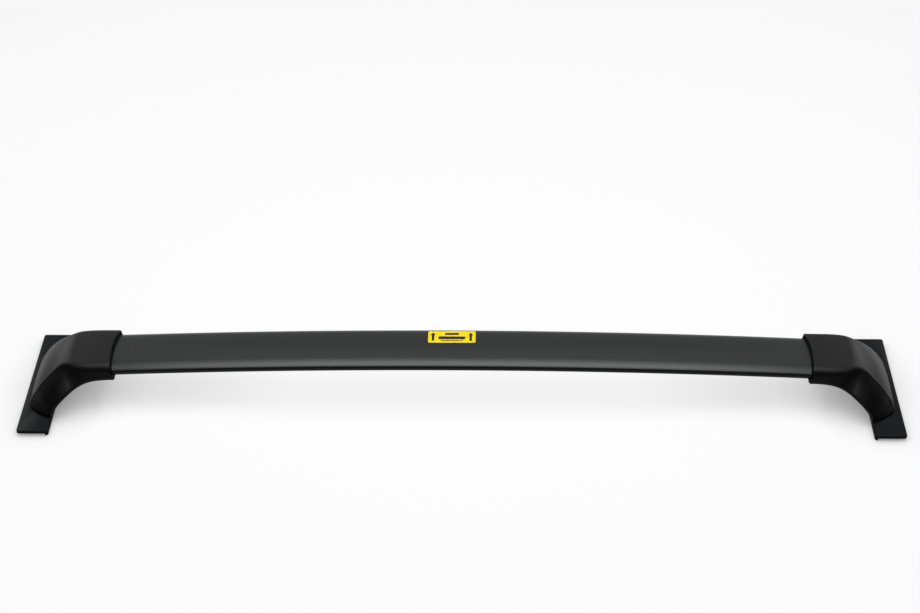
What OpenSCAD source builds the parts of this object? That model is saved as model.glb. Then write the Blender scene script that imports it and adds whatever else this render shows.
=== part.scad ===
// Roof rack crossbar: a bowed aluminium extrusion carried by two moulded feet.
// X runs along the bar, Y points forward, Z is up. The origin is on the roof plane under the bar's middle.

/* [Bar extrusion] */
// Distance between the outer edges of the two base plates
overall_l = 1080; // [1000:5:1200]
// Width of the bar, front to back
bar_w = 72; // [68:0.5:74]
// Radius of the bar's rounded front and back edges
bar_nose_r = 5; // [4.6:0.1:5.4]
// Radius of the shoulder between the crown and the edge
bar_shoulder_r = 22; // [18:1:26]
// Slope of the section where the crown meets the shoulder, in degrees
bar_crown_slope = 8; // [7:0.5:9]
// Slope of the section where the shoulder meets the edge, in degrees
bar_shoulder_slope = 40; // [36:1:44]
// Radius of the bar's upward bow
bar_bow_r = 9100; // [8000:100:12000]
// Wall of the extrusion
bar_wall = 2.2; // [1.8:0.1:2.6]
// Thickness of the two inner ribs
bar_rib_t = 2; // [1.5:0.1:3]
// Distance between the middles of the two inner ribs
bar_rib_gap = 30; // [26:1:34]
// Length of the bar that lies inside each foot
bar_insert_l = 36; // [34:1:40]
// Height of the bar's edge centre above the roof plane, at the collars
bar_edge_z = 51.3; // [50:0.1:53]

/* [Foot cover] */
// Distance from the plate's outer edge to the edge of the collar
collar_reach = 110; // [108:0.5:114]
// Width of the cover at the collar
collar_w = 79; // [78:0.5:82]
// Height of the collar's side, underside to upper edge
collar_side_h = 15.6; // [15:0.1:17]
// How far the collar's edge curves inboard at its sides
collar_bow = 3; // [0:0.5:4]
// How much further inboard the collar's edge lies at the front than at the middle
collar_slant = 1.5; // [0:0.25:2]
// Radius of the cover's upper edges at the collar
collar_edge_r = 12; // [11:0.5:13]
// Width across the cover's upper edges at the knee
knee_w = 64.5; // [62:0.5:70]
// Width across the cover's upper edges half way down the leg
leg_w = 74; // [70:0.5:78]
// Width across the cover's outer face just above the plate
ankle_w = 83; // [78:0.5:88]
// Width of the cover's outer edge on the plate
foot_outer_w = 98; // [94:0.5:102]
// Width of the foot along the plate's inner edge
foot_inner_w = 136; // [130:0.5:142]
// Wall of the moulded cover
cover_wall = 2.6; // [2.2:0.1:3]
// Clearance between the bar's crown and the inside of the cover
cover_clear = 1; // [0.8:0.1:1.5]
// Distance from the plate's outer edge to the cover's outer edge
cover_setback = 6; // [5:0.1:8]
// Gap between the cover's rim and the plate, filled by the rim seal
rim_gap = 2.4; // [2:0.1:3]
// Parting gap between the cover's lip and the arm
parting_gap = 0.5; // [0.3:0.1:0.8]

/* [Arm] */
// Thickness of the arm under the bar
arm_tray_t = 2.4; // [2.2:0.1:3.2]
// Height of the arm's side lip at the collar
arm_collar_lip = 5.6; // [5:0.1:6]
// Height of the arm's side lip down the leg
arm_leg_lip = 3.4; // [3:0.1:4]
// How far the arm's lip stands inboard of the cover
arm_lip_step = 6; // [5:0.5:7]
// Radius of the arm's lower side edges at the collar
arm_edge_r = 4.5; // [3:0.1:5]
// Radius of the arm's lower side edges down the leg
arm_leg_edge_r = 2.8; // [2:0.1:3]
// Thickness of the arm's ribs
arm_rib_t = 6; // [4:0.5:8]
// Distance between the middles of the arm's two ribs
arm_rib_gap = 40; // [36:1:44]
// Thickness of the arm's base flange
arm_flange_t = 7; // [6:0.5:9]
// Width of the arm's base flange
arm_flange_w = 76; // [72:1:80]
// Length of the tongue past the bar screw nearest the middle
tongue_end_l = 14; // [10:1:20]
// Clearance round the tongue in the bar, and round the bar in the arm
fit_clear = 0.3; // [0.2:0.05:0.4]

/* [Base plate and pad] */
// Length of the base plate, front to back
plate_l = 187; // [180:1:195]
// Width of the base plate
plate_w = 38.5; // [37:0.5:40]
// Thickness of the base plate
plate_t = 3.5; // [3:0.1:4]
// Corner radius of the base plate
plate_corner_r = 3; // [2:0.5:5]
// Outer radius of the plate's turned-down inner edge
plate_bend_r = 3; // [2:0.5:3.4]
// Height of the turned-down edge above the roof plane
plate_lip_z = 0.8; // [0.5:0.1:1.5]
// Thickness of the rubber pad
pad_t = 3.5; // [3:0.1:5]
// How far the pad lies inside the plate's edges
pad_inset = 4.5; // [3:0.5:6]

/* [Seals] */
// Width of the collar seal along the bar
collar_seal_w = 6; // [4:0.5:8]
// How far the collar seal's body lies inside the collar's edge
collar_seal_inset = 1.4; // [1:0.1:3]
// Thickness of the collar seal's lip on the bar
seal_lip_t = 0.6; // [0.5:0.05:0.7]
// How far the collar seal's lip shows inboard of the collar's edge
seal_lip_show = 2.2; // [1.5:0.1:3]
// Thickness of the rim seal's wall
rim_seal_t = 3.5; // [3:0.1:4]
// How far the rim seal lies inside the cover's rim
rim_seal_inset = 1.6; // [1:0.1:2]
// Clearance between a seal and its neighbours
seal_clear = 0.2; // [0.1:0.05:0.3]

/* [Fasteners] */
// Nominal diameter of the roof bolts' threads
roof_thread_d = 8; // [8:1:10]
// Outer diameter of a thread insert
insert_d = 12; // [12:0.5:14]
// Length of a thread insert
insert_l = 14; // [12:1:16]
// Distance between the two roof bolts of one foot
roof_bolt_gap = 56; // [54:1:58]
// Distance from the plate's outer edge to the line of bolts
bolt_line = 24; // [23:0.5:25]
// Diameter of the screws that hold the bar and the plate
screw_d = 6; // [5:1:6]
// Height of a screw's head
screw_head_h = 3; // [2.6:0.1:3.2]
// Diameter of a screw's head
screw_head_d = 11.5; // [11:0.5:12]
// Distance between the two plate screws of one foot
plate_screw_gap = 22; // [20:1:24]
// Length of a plate screw below its head
plate_screw_l = 11; // [9:1:12]
// Distance from the collar's edge to the first bar screw
bar_screw_inset = 8; // [7:0.5:10]
// Distance between the two bar screws of one foot
bar_screw_gap = 14; // [13:0.5:15]
// Length of a bar screw below its head
bar_screw_l = 11; // [10:0.5:12]
// Clearance round a thread, an insert or a screw's shank
thread_clear = 0.05; // [0.03:0.01:0.1]
// Clearance of the holes that a screw passes through
hole_clear = 0.3; // [0.2:0.1:0.5]
// Clearance of the plate's holes round the roof bolts
roof_hole_clear = 1; // [0.8:0.1:1.2]

/* [Direction label] */
// Length of the label along the bar
label_l = 58.5; // [50:0.5:70]
// Depth of the label, front to back
label_w = 26; // [24:0.5:28]
// Distance of the label's middle from the bar's middle, to the left
label_shift = 11.5; // [0:0.5:20]
// Distance of the label's middle behind the bar's front edge
label_setback = 21.5; // [21:0.5:28]
// Thickness of the label film
label_t = 0.3; // [0.2:0.05:0.5]
// Corner radius of the label
label_corner_r = 2.5; // [1:0.5:4]
// Length of a printed arrow
arrow_l = 18; // [14:0.5:20]
// Width of a printed arrow
arrow_w = 6; // [5:0.5:8]

/* [Hidden] */
$fn = 64;

// The bow is cut into this many steps for a full turn.
bow_steps = 1440;
// Steps along the foot, and points along the crown, the edge and the flank of its section.
foot_steps = 23;
crown_steps = 4;
edge_steps = 4;
flank_steps = 4;
// Steps of an arc in the bar's section.
arc_steps = 6;
// Sweeps and cuts run past their neighbours by this much.
past = 1;
// Radius of the cover's upper edges at the plate, and the rise of its outer face there.
foot_edge_r = 4.5;
foot_rise = 1;
// Least radius left at an inset edge.
least_r = 0.4;
// Centre of the upper edge's arc from the section's corner, in radii.
edge_pull = [0.85, 0.5];
// How the crest's straight stretch over the bar runs.
crest_run = [42, -0.9];
// How far the curves of the underside and the crest are drawn from their ends, outward and upward.
arch_pull = [[41.5, 0.4], [45, 13.5]];
knee_pull = [[22, 1], [14.4, 25.5]];
// How far the arm reaches inboard of the plate.
arm_overhang = 0.6;
// How far the bar screws' seats lie below the arm, and the rim round a screw's head.
seat_drop = 1;
head_rim = 1;
// The bosses round the thread inserts narrow upward: their wall at the foot, and at the top and above.
boss_wall = 2.5;
boss_cap = 1;
// Thickness of the arm's wall behind the bar's end.
end_wall_t = 5;
// Corner radius of the arm's lip, seen from above, and the chamfer under its end.
arm_corner_r = 3;
arm_lip_chamfer = 1.2;
// Depth of the hexagon socket in a screw's head.
socket_depth = 1.6;

plate_x = overall_l / 2;
plate_z = pad_t + plate_t;
collar_x = plate_x - collar_reach;
bar_end_x = collar_x + bar_insert_l;
bolt_x = plate_x - bolt_line;
insert_r = insert_d / 2;
screw_r = screw_d / 2;

// The bar's section: crown, shoulder and edge arcs that run into each other.
edge_y = bar_w / 2 - bar_nose_r;
crown_r = (edge_y - (bar_shoulder_r - bar_nose_r) * sin(bar_shoulder_slope)) / sin(bar_crown_slope)
    + bar_shoulder_r;
crown_drop = (crown_r - bar_shoulder_r) * cos(bar_crown_slope)
    + (bar_shoulder_r - bar_nose_r) * cos(bar_shoulder_slope);
bar_top = crown_r - crown_drop;
bar_mid_z = bar_edge_z + bar_bow_r - sqrt(pow(bar_bow_r, 2) - pow(collar_x, 2));
bow_axis_z = bar_mid_z - bar_bow_r;

// The underside of the arm, and the line of the cover's upper edge, as curves seen from the front.
arch_z = bar_edge_z - bar_nose_r - fit_clear - arm_tray_t;
rim_z = plate_z + rim_gap;
// The bar screws' heads meet the arm at this height.
bar_seat_z = arch_z - seat_drop;
arch_start = [collar_x, arch_z];
arch_end = [plate_x - plate_w - arm_overhang, rim_z];
arch_curve = [arch_start, arch_start + arch_pull[0],
              [plate_x - arch_pull[1][0], rim_z + arch_pull[1][1]], arch_end];
crest_start = [collar_x, arch_z + collar_side_h];
knee_start = crest_start + crest_run;
crest_end = [plate_x - cover_setback - foot_rise - foot_edge_r / 2, rim_z];
knee_curve = [knee_start, knee_start + knee_pull[0],
              [crest_end[0] - knee_pull[1][0], rim_z + knee_pull[1][1]], crest_end];
// Share of the foot's length that the straight stretch over the bar takes.
straight_share = 0.3;
// Places along the foot: share of length, half width at the upper edge, half width at the lip,
// edge radius, rise of the crown and bulge of the flank in degrees.
foot_places = [
    [0, collar_w / 2 - 1.8, collar_w / 2, collar_edge_r, bar_top + bar_nose_r + cover_clear - 14.6, 0],
    [0.25, collar_w / 2 - 2, collar_w / 2 + 2, collar_edge_r - 0.5, 1.9, 3],
    [0.42, knee_w / 2 + 0.6, collar_w / 2 + 9, collar_edge_r - 1.5, 2.3, 8],
    [0.5, knee_w / 2 + 0.3, collar_w / 2 + 14, collar_edge_r - 3, 2.5, 10],
    [0.65, leg_w / 2 - 1, foot_inner_w / 2 - 8, 5.5, 3.8, 12],
    [0.82, ankle_w / 2 - 0.6, foot_inner_w / 2 - 3, 5, 3, 12],
    [0.93, ankle_w / 2 + 0.8, foot_inner_w / 2 - 0.6, 5, 2, 12],
    [1, foot_outer_w / 2, foot_inner_w / 2, foot_edge_r, foot_rise, 12]
];

function mix(a, b, t) = a + (b - a) * t;
function bezier(p, t) = mix(mix(mix(p[0], p[1], t), mix(p[1], p[2], t), t),
                            mix(mix(p[1], p[2], t), mix(p[2], p[3], t), t), t);
function arc(centre, r, a0, a1, steps) =
    [for (i = [0:steps]) let (a = mix(a0, a1, i / steps)) centre + r * [sin(a), cos(a)]];

// Half of the bar's outline, crown to underside, grown outward by g.
function bar_half(g) = let (
        shoulder = [(crown_r - bar_shoulder_r) * sin(bar_crown_slope),
                    (crown_r - bar_shoulder_r) * cos(bar_crown_slope) - crown_drop],
        crown = arc([0, -crown_drop], crown_r + g, 0, bar_crown_slope, arc_steps),
        side = arc(shoulder, bar_shoulder_r + g, bar_crown_slope, bar_shoulder_slope, arc_steps),
        edge = arc([edge_y, 0], bar_nose_r + g, bar_shoulder_slope, 180, 2 * arc_steps))
    concat([for (i = [0:arc_steps - 1]) crown[i]], [for (i = [0:arc_steps - 1]) side[i]], edge);
function bar_outline(g) = let (half = bar_half(g), n = len(half))
    concat(half, [for (i = [n - 1:-1:1]) [-half[i][0], half[i][1]]]);

// A value from the table of places, run smoothly between them.
function place_slope(i, k) = let (a = max(i - 1, 0), b = min(i + 1, len(foot_places) - 1))
    (foot_places[b][k] - foot_places[a][k]) / (foot_places[b][0] - foot_places[a][0]);
function place_index(u) = max([for (i = [0:len(foot_places) - 2]) if (u >= foot_places[i][0]) i]);
function at_place(u, k) = let (
        i = place_index(u),
        span = foot_places[i + 1][0] - foot_places[i][0],
        t = (u - foot_places[i][0]) / span,
        a = foot_places[i][k],
        b = foot_places[i + 1][k],
        da = place_slope(i, k) * span,
        db = place_slope(i + 1, k) * span)
    a + da * t + (3 * (b - a) - 2 * da - db) * pow(t, 2) + (2 * (a - b) + da + db) * pow(t, 3);

function arch_point(u) = bezier(arch_curve, u);
function crest_point(u) = u < straight_share
    ? mix(crest_start, knee_start, u / straight_share)
    : bezier(knee_curve, (u - straight_share) / (1 - straight_share));
function lip_height(u) = mix(arm_collar_lip, arm_leg_lip, min(1, u / straight_share));
function outward(u) = let (d = crest_point(u) - arch_point(u)) d / norm(d);

// Half of the cover's section at u as [sideways, outward] points, crown to lip, inset by g.
function cover_half(u, g) = let (
        depth = norm(crest_point(u) - arch_point(u)),
        full_r = at_place(u, 3),
        r = max(full_r, g + least_r),
        edge_c = [at_place(u, 1), depth] - full_r * edge_pull - (r - full_r) * [1, 1],
        rise = at_place(u, 4),
        slope = atan(2 * rise / edge_c[0]),
        top = edge_c + (r - g) * [sin(slope), cos(slope)],
        lip = [at_place(u, 2) - g, lip_height(u) + parting_gap],
        gap = lip - edge_c,
        turn = atan2(gap[0], gap[1]) - acos((r - g) / norm(gap)) + at_place(u, 5) / 2,
        foot = edge_c + (r - g) * [sin(turn), cos(turn)],
        chord = lip - foot,
        swell = [-chord[1], chord[0]] / norm(chord) * norm(chord) / 2 * tan(at_place(u, 5)),
        knot = (lip + foot) / 2 + swell)
    concat([for (i = [0:crown_steps - 1]) let (y = top[0] * i / crown_steps)
                [y, top[1] + rise * (1 - pow(y / top[0], 2))]],
           arc(edge_c, r - g, slope, turn, edge_steps),
           [for (i = [1:flank_steps]) let (t = i / flank_steps)
                mix(mix(foot, knot, t), mix(knot, lip, t), t)]);
function both_sides(half) = let (n = len(half))
    concat([for (i = [n - 1:-1:1]) [-half[i][0], half[i][1]]], half);
// The collar's edge curves inboard towards its sides, and slants inboard towards the front.
function collar_shift(u, y) = let (side = 2 * y / collar_w)
    (collar_bow * pow(side, 2) + collar_slant * side) * max(0, 1 - u / (straight_share / 2));
function in_space(u, p) = let (q = arch_point(u) + outward(u) * p[1])
    [q[0] - collar_shift(u, p[0]), p[0], q[1]];
function skin(u, g) = [for (p = both_sides(cover_half(u, g))) in_space(u, p)];
function reversed(list) = [for (i = [len(list) - 1:-1:0]) list[i]];

module bow_place() translate([0, 0, bow_axis_z]) rotate([0, -90, -90]) children();

// A section given as [y, z] about the edge centre, swept along the bow from x0 to x1.
module bow_sweep(x0, x1) {
    a0 = asin(x0 / bar_bow_r);
    a1 = asin(x1 / bar_bow_r);
    bow_place() rotate([0, 0, a0])
        rotate_extrude(angle = a1 - a0, $fn = bow_steps)
            translate([bar_bow_r, 0]) mirror([1, -1]) children();
}

module bar_envelope(g, x0, x1) bow_sweep(x0, x1) polygon(bar_outline(g));

// A solid seen from the front as the given outline, as wide as w.
module from_front(w) translate([0, w / 2, 0]) rotate([90, 0, 0]) linear_extrude(w) children();

module both_ways(gap) for (side = [-1, 1]) translate([0, side * gap / 2, 0]) children();

module at_side(side) mirror([side < 0 ? 1 : 0, 0, 0]) children();

module rounded(size, r) {
    square([size[0] - 2 * r, size[1]], center = true);
    square([size[0], size[1] - 2 * r], center = true);
    for (x = [-1, 1], y = [-1, 1])
        translate([x * (size[0] / 2 - r), y * (size[1] / 2 - r)]) circle(r);
}

module rod(r, z0, z1) translate([0, 0, z0]) cylinder(r = r, h = z1 - z0);

module cover_shell() {
    m = len(skin(0, 0));
    n = 2 * m;
    points = [for (i = [0:foot_steps]) let (u = i / foot_steps)
        each concat(skin(u, 0), reversed(skin(u, cover_wall)))];
    sides = [for (i = [0:foot_steps - 1], j = [0:n - 1]) let (
            a = i * n + j, b = i * n + (j + 1) % n, c = a + n, d = b + n)
        each [[a, c, b], [b, c, d]]];
    caps = [for (j = [0:m - 2]) let (e = foot_steps * n, a = j, b = j + 1, c = n - 2 - j, d = n - 1 - j)
        each [[a, b, c], [a, c, d], [e + b, e + a, e + d], [e + b, e + d, e + c]]];
    polyhedron(points, concat(sides, caps));
}

function tray_top(u) = arch_point(u) + outward(u) * lip_height(u);

module arm_outline() {
    steps = 2 * foot_steps;
    lip = [collar_x - arm_lip_step, arch_z];
    polygon(concat(
        [lip + [0, arm_lip_chamfer], lip + [arm_lip_chamfer, 0]],
        [for (i = [0:steps]) arch_point(i / steps)],
        [[arch_end[0], plate_z], [arch_end[0] + arm_leg_lip + 1, plate_z]],
        [for (i = [steps:-1:0]) tray_top(i / steps)],
        [[lip[0] + 1, lip[1] + arm_collar_lip], [lip[0], lip[1] + arm_collar_lip - 1.5]]));
}

module arm_plan() {
    steps = 2 * foot_steps;
    side = [for (i = [0:steps]) let (u = i / steps) [arch_point(u)[0] + arm_leg_lip / 2, at_place(u, 2)]];
    inner = [collar_x - arm_lip_step + arm_corner_r, collar_w / 2 - arm_corner_r];
    outer = [plate_x, foot_inner_w / 2];
    half = concat(arc(inner, arm_corner_r, -90, 0, arc_steps), side, [outer]);
    polygon(concat(half, [for (p = reversed(half)) [p[0], -p[1]]]));
}

// What the rounding takes off one lower edge of the arm, from the lip to the plate.
module arm_edge_cut() {
    flats = 3;
    function cut_section(half_w, r) = concat(
        [[half_w - r, -past], [half_w + 2 * past, -past], [half_w + 2 * past, r]],
        arc([half_w - r, r], r, 90, 180, flats));
    function cut_place(u, list) = [for (p = list) let (q = arch_point(u) + outward(u) * p[1])
        [q[0], p[0], q[1]]];
    function edge_r(u) = mix(arm_edge_r, arm_leg_edge_r, min(1, u / straight_share));
    first = [for (p = cut_section(collar_w / 2, arm_edge_r))
        [collar_x - arm_lip_step - past, p[0], arch_z + p[1]]];
    last = [for (p = cut_place(1, cut_section(at_place(1, 2), arm_leg_edge_r))) p - [0, 0, rim_gap]];
    rings = concat([first], [for (i = [0:foot_steps]) let (u = i / foot_steps)
        cut_place(u, cut_section(at_place(u, 2), edge_r(u)))], [last]);
    n = len(first);
    m = len(rings);
    polyhedron([for (r = rings) each r], concat(
        [for (i = [0:m - 2], j = [0:n - 1]) let (a = i * n + j, b = i * n + (j + 1) % n)
            each [[a, a + n, b], [b, a + n, b + n]]],
        [[for (j = [0:n - 1]) j], [for (j = [n - 1:-1:0]) (m - 1) * n + j]]));
}

// The web between tray and cover, in from the cover's crest by web_gap.
module rib_outline() {
    web_gap = 6;
    steps = foot_steps;
    first = floor(bar_insert_l / collar_reach * steps) - 1;
    polygon(concat(
        [for (i = [first:steps - 2]) arch_point(i / steps) + outward(i / steps)],
        [[arch_end[0] + 2, plate_z + 1], [bolt_x + 6, plate_z + 1]],
        [for (i = [steps - 2:-1:first]) let (u = i / steps)
            crest_point(u) - outward(u) * web_gap]));
}

module arm() {
    flange_x = arch_end[0];
    flange_l = bolt_x + 9 - flange_x;
    wall_x = bar_end_x + fit_clear;
    screws = [for (i = [0, 1]) collar_x + bar_screw_inset + i * bar_screw_gap];
    tongue_x = screws[0] - tongue_end_l;
    difference() {
        union() {
            difference() {
                union() {
                    intersection() {
                        from_front(foot_inner_w + past) arm_outline();
                        translate([0, 0, -past]) linear_extrude(arch_z + collar_side_h) arm_plan();
                    }
                    both_ways(arm_rib_gap) from_front(arm_rib_t) rib_outline();
                    translate([flange_x, -arm_flange_w / 2, plate_z])
                        cube([flange_l, arm_flange_w, arm_flange_t]);
                    translate([bolt_x, 0, plate_z]) both_ways(roof_bolt_gap)
                        cylinder(r1 = insert_r + boss_wall, r2 = insert_r + boss_cap,
                                 h = insert_l + boss_cap);
                    for (x = screws) translate([x, 0, 0])
                        rod(screw_head_d / 2 + head_rim, bar_seat_z, arch_z + arm_tray_t);
                }
                bar_envelope(fit_clear, tongue_x - past, wall_x);
                for (side = [-1, 1]) mirror([0, side < 0 ? 1 : 0, 0]) arm_edge_cut();
            }
            bow_sweep(tongue_x, wall_x + past) tongue_outline();
            translate([wall_x + fit_clear, -(arm_rib_gap + arm_rib_t) / 2, arch_z + 2])
                cube([end_wall_t, arm_rib_gap + arm_rib_t, bar_nose_r + bar_top - 4]);
        }
        for (x = screws) translate([x, 0, 0]) {
            rod(screw_r + thread_clear, 0, bar_mid_z + bar_top + past);
            rod(screw_head_d / 2 + hole_clear, 0, bar_seat_z);
        }
        translate([bolt_x, 0, 0]) {
            both_ways(roof_bolt_gap) rod(insert_r + thread_clear, 0, plate_z + insert_l + thread_clear);
            both_ways(plate_screw_gap) rod(screw_r + thread_clear, 0, pad_t + plate_screw_l + 1);
        }
    }
}

module tongue_outline() {
    w = bar_rib_gap - bar_rib_t - 2 * fit_clear;
    intersection() {
        polygon(bar_outline(-bar_wall - fit_clear));
        square([w, 4 * bar_top], center = true);
    }
}

module bar_extrusion() color("#2a2b2d") difference() {
    bow_sweep(-bar_end_x, bar_end_x) difference() {
        polygon(bar_outline(0));
        difference() {
            polygon(bar_outline(-bar_wall));
            for (side = [-1, 1]) translate([side * bar_rib_gap / 2, 0])
                square([bar_rib_t, 4 * bar_top], center = true);
        }
    }
    for (side = [-1, 1], i = [0, 1]) at_side(side)
        translate([collar_x + bar_screw_inset + i * bar_screw_gap, 0, 0])
            rod(screw_r + hole_clear, 0, bar_edge_z);
}

module label_area() {
    translate([-label_shift, bar_w / 2 - label_setback]) rounded([label_l, label_w], label_corner_r);
}

// A film of thickness t on the bar's crown, g above it, cut to the outline given.
module film(g, t) intersection() {
    bow_sweep(-label_l, label_l) difference() {
        polygon(bar_outline(g + t));
        polygon(bar_outline(g));
        translate([0, -bar_w]) square([2 * bar_w, 2 * bar_w], center = true);
    }
    translate([0, 0, bar_mid_z]) linear_extrude(2 * bar_top) children();
}

module direction_label() color("#f6dc00") film(0.02, label_t) label_area();

// Two arrows towards the front, and three plain bars between them.
module print_marks() {
    // Length, depth and place of each bar.
    bars = [[17, 4.4, 5.6], [33, 5.6, -3], [27, 1.2, -8.6]];
    translate([-label_shift, bar_w / 2 - label_setback]) {
        for (side = [-1, 1]) translate([side * (label_l / 2 - arrow_w), 0]) {
            translate([-arrow_w / 4, -arrow_l / 2]) square([arrow_w / 2, arrow_l - arrow_w + past / 2]);
            polygon([[-arrow_w / 2, arrow_l / 2 - arrow_w], [arrow_w / 2, arrow_l / 2 - arrow_w],
                     [0, arrow_l / 2]]);
        }
        for (b = bars) translate([0, b[2]]) square([b[0], b[1]], center = true);
    }
}

module label_print() color("#161616") film(0.04 + label_t, label_t / 2) print_marks();

module cover() cover_shell();

module plate_outline() {
    x0 = -plate_w;
    r = plate_bend_r;
    polygon(concat(
        [[0, pad_t], [0, plate_z]],
        [for (p = reversed(arc([x0 + r, plate_z - r], r, -90, 0, arc_steps))) p],
        [[x0, plate_lip_z], [x0 + plate_t, plate_lip_z], [x0 + plate_t, pad_t]]));
}

module base_plate() difference() {
    intersection() {
        translate([plate_x, 0, 0]) from_front(plate_l) plate_outline();
        translate([plate_x - plate_w / 2, 0, 0]) linear_extrude(plate_z)
            rounded([plate_w, plate_l], plate_corner_r);
    }
    translate([bolt_x, 0, 0]) {
        both_ways(roof_bolt_gap) rod(roof_thread_d / 2 + roof_hole_clear, 0, plate_z + past);
        both_ways(plate_screw_gap) {
            rod(screw_r + hole_clear, 0, plate_z + past);
            countersink(screw_head_d / 2 + hole_clear, screw_r + hole_clear);
        }
    }
}

// A cone from the plate's underside upward.
module countersink(r0, r1) translate([0, 0, pad_t]) cylinder(r1 = r0, r2 = r1, h = screw_head_h);

module rubber_pad() difference() {
    x0 = plate_x - plate_w + plate_t + fit_clear;
    x1 = plate_x - pad_inset;
    translate([(x0 + x1) / 2, 0, 0]) linear_extrude(pad_t)
        rounded([x1 - x0, plate_l - 2 * pad_inset], plate_corner_r);
    translate([bolt_x, 0, 0]) {
        both_ways(roof_bolt_gap) rod(insert_r + head_rim, -past, pad_t + past);
        both_ways(plate_screw_gap) rod(screw_head_d / 2 + head_rim, -past, pad_t + past);
    }
}

// The seal fills the room between the cover and the bar, above the arm's lip.
// Its thin lip lies on the bar and shows all along the collar's edge.
module collar_seal() {
    x0 = collar_x + collar_seal_inset;
    x1 = x0 + collar_seal_w;
    lip_x = collar_x - collar_bow - collar_slant - seal_lip_show - past;
    difference() {
        union() {
            bow_sweep(x0, x1) seal_room(collar_seal_inset / collar_reach, seal_clear);
            intersection() {
                bow_sweep(lip_x, x0 + past) intersection() {
                    polygon(bar_outline(seal_clear + seal_lip_t));
                    seal_room(0, 2 * seal_clear);
                }
                linear_extrude(2 * bar_edge_z) seal_lip_plan();
            }
        }
        bar_envelope(seal_clear, lip_x - past, x1 + past);
    }
}

// The cover's inner section at u, less a clearance, about the bar's edge centre.
module seal_room(u, clear) polygon([for (p = skin(u, cover_wall + clear)) [p[1], p[2] - bar_edge_z]]);

// The collar's edge seen from above, moved inboard, and out under the cover.
module seal_lip_plan() {
    steps = 2 * foot_steps;
    under_x = collar_x + collar_seal_inset + 2 * past;
    edge = [for (i = [-steps:2:steps]) let (y = collar_w / 2 * i / steps)
        [collar_x - collar_shift(0, y) - seal_lip_show, y]];
    polygon(concat(edge, [[under_x, collar_w / 2], [under_x, -collar_w / 2]]));
}

// A band that follows the foot's outline on the plate, inset by g.
module rim_outline(g) polygon([for (p = skin(1, g)) [p[0], p[1]]]);

module rim_seal() translate([0, 0, plate_z + seal_clear / 2]) linear_extrude(rim_gap - seal_clear)
    difference() {
        rim_outline(rim_seal_inset);
        rim_outline(rim_seal_inset + rim_seal_t);
        translate([arch_end[0] - past, -foot_inner_w])
            square([arm_leg_lip + 2 * past + seal_clear, 2 * foot_inner_w]);
    }

module thread_inserts() translate([bolt_x, 0, 0]) both_ways(roof_bolt_gap) difference() {
    rod(insert_r, plate_z, plate_z + insert_l);
    rod(roof_thread_d / 2, plate_z - past, plate_z + insert_l + past);
}

module bar_screws() for (i = [0, 1])
    translate([collar_x + bar_screw_inset + i * bar_screw_gap, 0, 0]) difference() {
        union() {
            rod(screw_head_d / 2, bar_seat_z - screw_head_h, bar_seat_z);
            rod(screw_r, bar_seat_z, bar_seat_z + bar_screw_l);
        }
        translate([0, 0, bar_seat_z - screw_head_h]) hex_socket();
    }

module hex_socket() translate([0, 0, -past]) cylinder(r = screw_r * 0.6, h = socket_depth + past, $fn = 6);

// A flat-headed screw that points up from the plate's underside.
module flat_screw(r, head_r, l) difference() {
    union() {
        translate([0, 0, pad_t]) cylinder(r1 = head_r, r2 = r, h = screw_head_h);
        rod(r, pad_t, pad_t + l);
    }
    translate([0, 0, pad_t]) hex_socket();
}

module plate_screws() translate([bolt_x, 0, 0]) both_ways(plate_screw_gap)
    flat_screw(screw_r, screw_head_d / 2, plate_screw_l);

module arm_left() color("#1c1d1e") at_side(-1) arm();
module arm_right() color("#1c1d1e") at_side(1) arm();
module cover_left() color("#242527") at_side(-1) cover();
module cover_right() color("#242527") at_side(1) cover();
module base_plate_left() color("#202124") at_side(-1) base_plate();
module base_plate_right() color("#202124") at_side(1) base_plate();
module rubber_pad_left() color("#131313") at_side(-1) rubber_pad();
module rubber_pad_right() color("#131313") at_side(1) rubber_pad();
module collar_seal_left() color("#0c0c0c") at_side(-1) collar_seal();
module collar_seal_right() color("#0c0c0c") at_side(1) collar_seal();
module rim_seal_left() color("#0c0c0c") at_side(-1) rim_seal();
module rim_seal_right() color("#0c0c0c") at_side(1) rim_seal();
module thread_inserts_left() color("#b9bbb8") at_side(-1) thread_inserts();
module thread_inserts_right() color("#b9bbb8") at_side(1) thread_inserts();
module bar_screws_left() color("#8f9193") at_side(-1) bar_screws();
module bar_screws_right() color("#8f9193") at_side(1) bar_screws();
module plate_screws_left() color("#8f9193") at_side(-1) plate_screws();
module plate_screws_right() color("#8f9193") at_side(1) plate_screws();

bar_extrusion();
direction_label();
label_print();
arm_left();
arm_right();
cover_left();
cover_right();
base_plate_left();
base_plate_right();
rubber_pad_left();
rubber_pad_right();
collar_seal_left();
collar_seal_right();
rim_seal_left();
rim_seal_right();
thread_inserts_left();
thread_inserts_right();
bar_screws_left();
bar_screws_right();
plate_screws_left();
plate_screws_right();
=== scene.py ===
"""Looks of a roof rack crossbar: a bowed, powder-coated aluminium bar on two moulded feet.

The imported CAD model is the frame. X runs along the bar, Y points forward and Z is up,
in metres. Sizes in the classes are in millimetres and angles in degrees, unless said.
"""

import logging
import math
from contextlib import contextmanager
from dataclasses import dataclass, field
from enum import Enum
from typing import Callable, Iterator, NamedTuple, Optional, Sequence

import bmesh
import bpy
from mathutils import Euler, Matrix, Vector


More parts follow.
